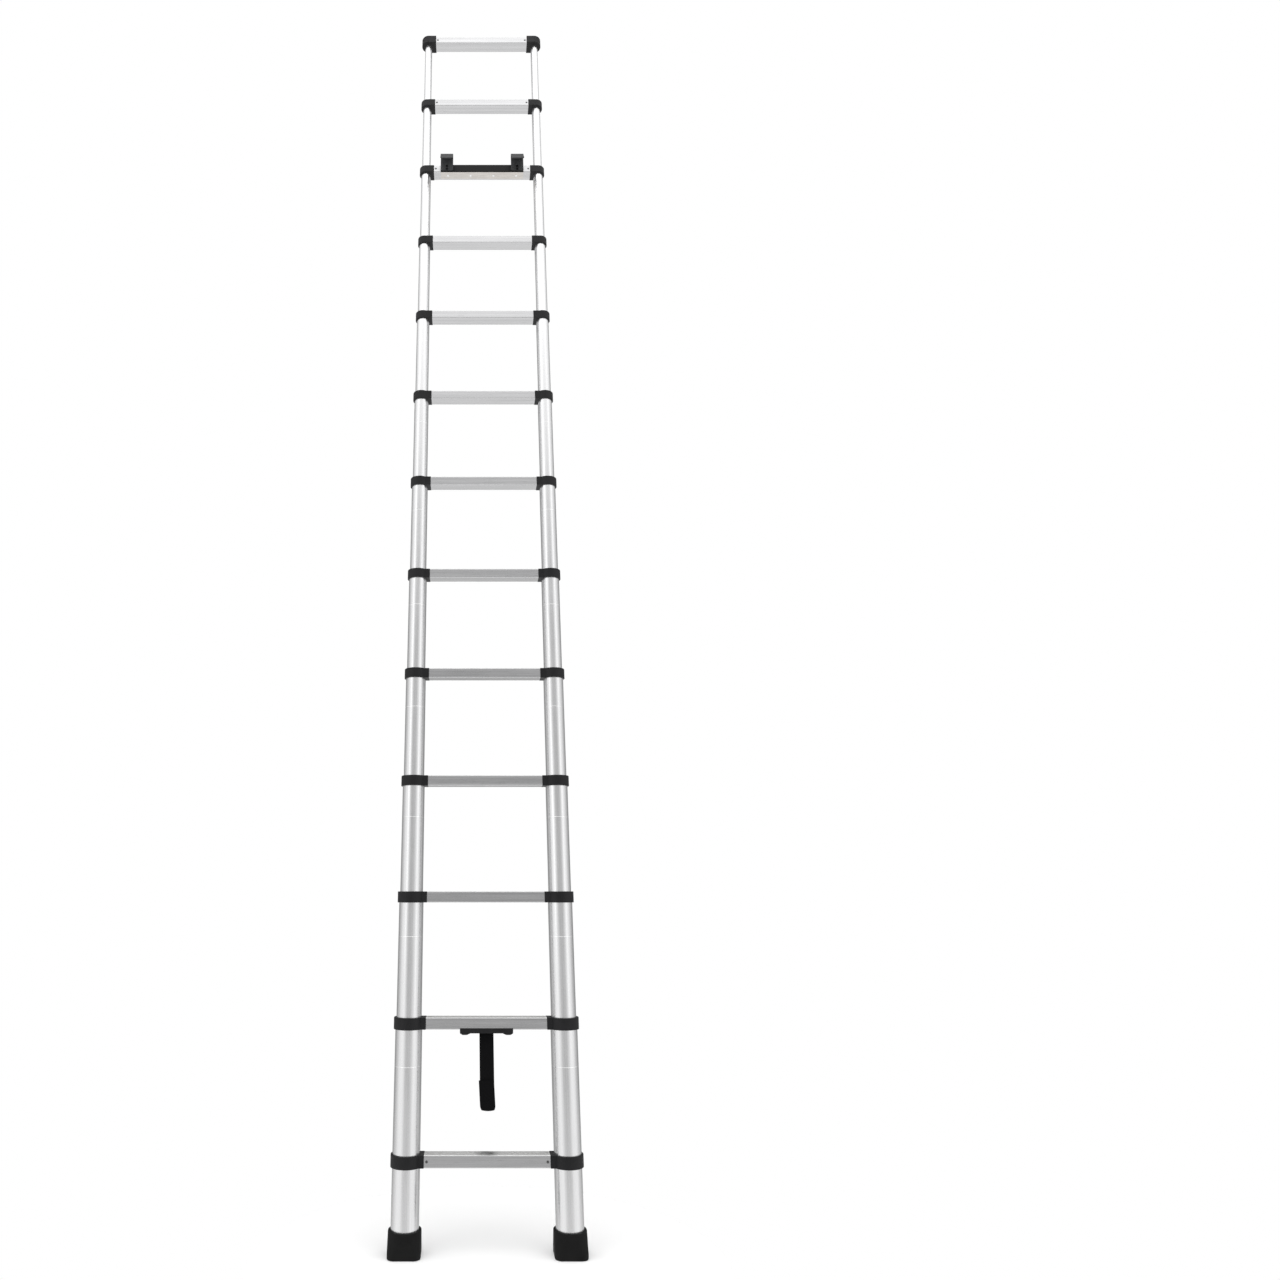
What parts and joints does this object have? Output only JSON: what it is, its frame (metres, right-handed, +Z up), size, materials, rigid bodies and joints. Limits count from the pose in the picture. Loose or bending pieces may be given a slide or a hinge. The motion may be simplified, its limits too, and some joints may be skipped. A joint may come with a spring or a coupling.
{
  "type": "telescoping extension ladder",
  "caption": "Single telescoping ladder pulled out to full height: nested aluminium stile tubes, black collars, flat rungs, rubber feet, a carry strap and top hooks.",
  "frame": {"origin": "on the floor, below the middle of the whole object's box at rest (pulled out)", "axes": "+X to the ladder's right as seen from its front, -Y out of its front (the side with the hooks), +Z up along the stiles"},
  "size_m": [0.4666, 0.1108, 3.7625],
  "materials": {
    "satin_aluminium_tube": "satin anodised, drawn tube",
    "satin_aluminium_rung": "satin anodised, fine lengthwise ribs",
    "black_plastic": "matte moulded",
    "white_plastic": "plain moulded, hidden",
    "black_rubber": "matte moulded rubber",
    "grey_painted_steel": "fine-texture powder coat",
    "black_painted_steel": "fine-texture powder coat",
    "zinc_plated_steel": "bright zinc",
    "black_webbing": "woven hook-and-loop webbing",
    "grey_plastic": "matte moulded"
  },
  "bodies": {
    "section_01": {"stile_tubes_01": "satin_aluminium_tube", "stile_collars_01": "black_plastic", "stile_collars_02": "black_plastic", "rung_01": "satin_aluminium_rung", "rung_02": "satin_aluminium_rung", "rubber_feet": "black_rubber", "strap_plate": "black_plastic", "plate_screws": "zinc_plated_steel", "strap": "black_webbing"},
    "section_02": {"stile_tubes_02": "satin_aluminium_tube", "guide_bushes_02": "white_plastic", "rung_03": "satin_aluminium_rung", "stile_collars_03": "black_plastic"},
    "section_03": {"stile_tubes_03": "satin_aluminium_tube", "guide_bushes_03": "white_plastic", "rung_04": "satin_aluminium_rung", "stile_collars_04": "black_plastic"},
    "section_04": {"stile_tubes_04": "satin_aluminium_tube", "guide_bushes_04": "white_plastic", "rung_05": "satin_aluminium_rung", "stile_collars_05": "black_plastic"},
    "section_05": {"stile_tubes_05": "satin_aluminium_tube", "guide_bushes_05": "white_plastic", "rung_06": "satin_aluminium_rung", "stile_collars_06": "black_plastic"},
    "section_06": {"stile_tubes_06": "satin_aluminium_tube", "guide_bushes_06": "white_plastic", "rung_07": "satin_aluminium_rung", "stile_collars_07": "black_plastic"},
    "section_07": {"stile_tubes_07": "satin_aluminium_tube", "guide_bushes_07": "white_plastic", "rung_08": "satin_aluminium_rung", "stile_collars_08": "black_plastic"},
    "section_08": {"stile_tubes_08": "satin_aluminium_tube", "guide_bushes_08": "white_plastic", "rung_09": "satin_aluminium_rung", "stile_collars_09": "black_plastic"},
    "section_09": {"stile_tubes_09": "satin_aluminium_tube", "guide_bushes_09": "white_plastic", "rung_10": "satin_aluminium_rung", "stile_collars_10": "black_plastic"},
    "section_10": {"stile_tubes_10": "satin_aluminium_tube", "guide_bushes_10": "white_plastic", "rung_11": "satin_aluminium_rung", "stile_collars_11": "black_plastic", "hook_bracket": "black_painted_steel", "bracket_screws": "zinc_plated_steel", "left_hook": "grey_painted_steel", "right_hook": "grey_painted_steel", "hook_rivets": "zinc_plated_steel"},
    "section_11": {"stile_tubes_11": "satin_aluminium_tube", "guide_bushes_11": "white_plastic", "rung_12": "satin_aluminium_rung", "stile_collars_12": "black_plastic"},
    "section_12": {"stile_tubes_12": "satin_aluminium_tube", "guide_bushes_12": "white_plastic", "rung_13": "satin_aluminium_rung", "top_end_caps": "black_plastic"},
    "left_latch": {"left_release_latch": "grey_plastic"},
    "right_latch": {"right_release_latch": "grey_plastic"}
  },
  "joints": [
    {"name": "section_02_slide", "type": "slide", "parent": "section_01", "child": "section_02", "axis": [0, 0, 1], "range_m": [-0.266, 0]},
    {"name": "section_03_slide", "type": "slide", "parent": "section_02", "child": "section_03", "axis": [0, 0, 1], "range_m": [-0.266, 0]},
    {"name": "section_04_slide", "type": "slide", "parent": "section_03", "child": "section_04", "axis": [0, 0, 1], "range_m": [-0.266, 0]},
    {"name": "section_05_slide", "type": "slide", "parent": "section_04", "child": "section_05", "axis": [0, 0, 1], "range_m": [-0.266, 0]},
    {"name": "section_06_slide", "type": "slide", "parent": "section_05", "child": "section_06", "axis": [0, 0, 1], "range_m": [-0.266, 0]},
    {"name": "section_07_slide", "type": "slide", "parent": "section_06", "child": "section_07", "axis": [0, 0, 1], "range_m": [-0.266, 0]},
    {"name": "section_08_slide", "type": "slide", "parent": "section_07", "child": "section_08", "axis": [0, 0, 1], "range_m": [-0.266, 0]},
    {"name": "section_09_slide", "type": "slide", "parent": "section_08", "child": "section_09", "axis": [0, 0, 1], "range_m": [-0.266, 0]},
    {"name": "section_10_slide", "type": "slide", "parent": "section_09", "child": "section_10", "axis": [0, 0, 1], "range_m": [-0.266, 0]},
    {"name": "section_11_slide", "type": "slide", "parent": "section_10", "child": "section_11", "axis": [0, 0, 1], "range_m": [-0.266, 0]},
    {"name": "section_12_slide", "type": "slide", "parent": "section_11", "child": "section_12", "axis": [0, 0, 1], "range_m": [-0.266, 0]},
    {"name": "left_latch_slide", "type": "slide", "parent": "section_01", "child": "left_latch", "axis": [-1, 0, 0], "range_m": [0, 0.005]},
    {"name": "right_latch_slide", "type": "slide", "parent": "section_01", "child": "right_latch", "axis": [1, 0, 0], "range_m": [0, 0.005]}
  ]
}
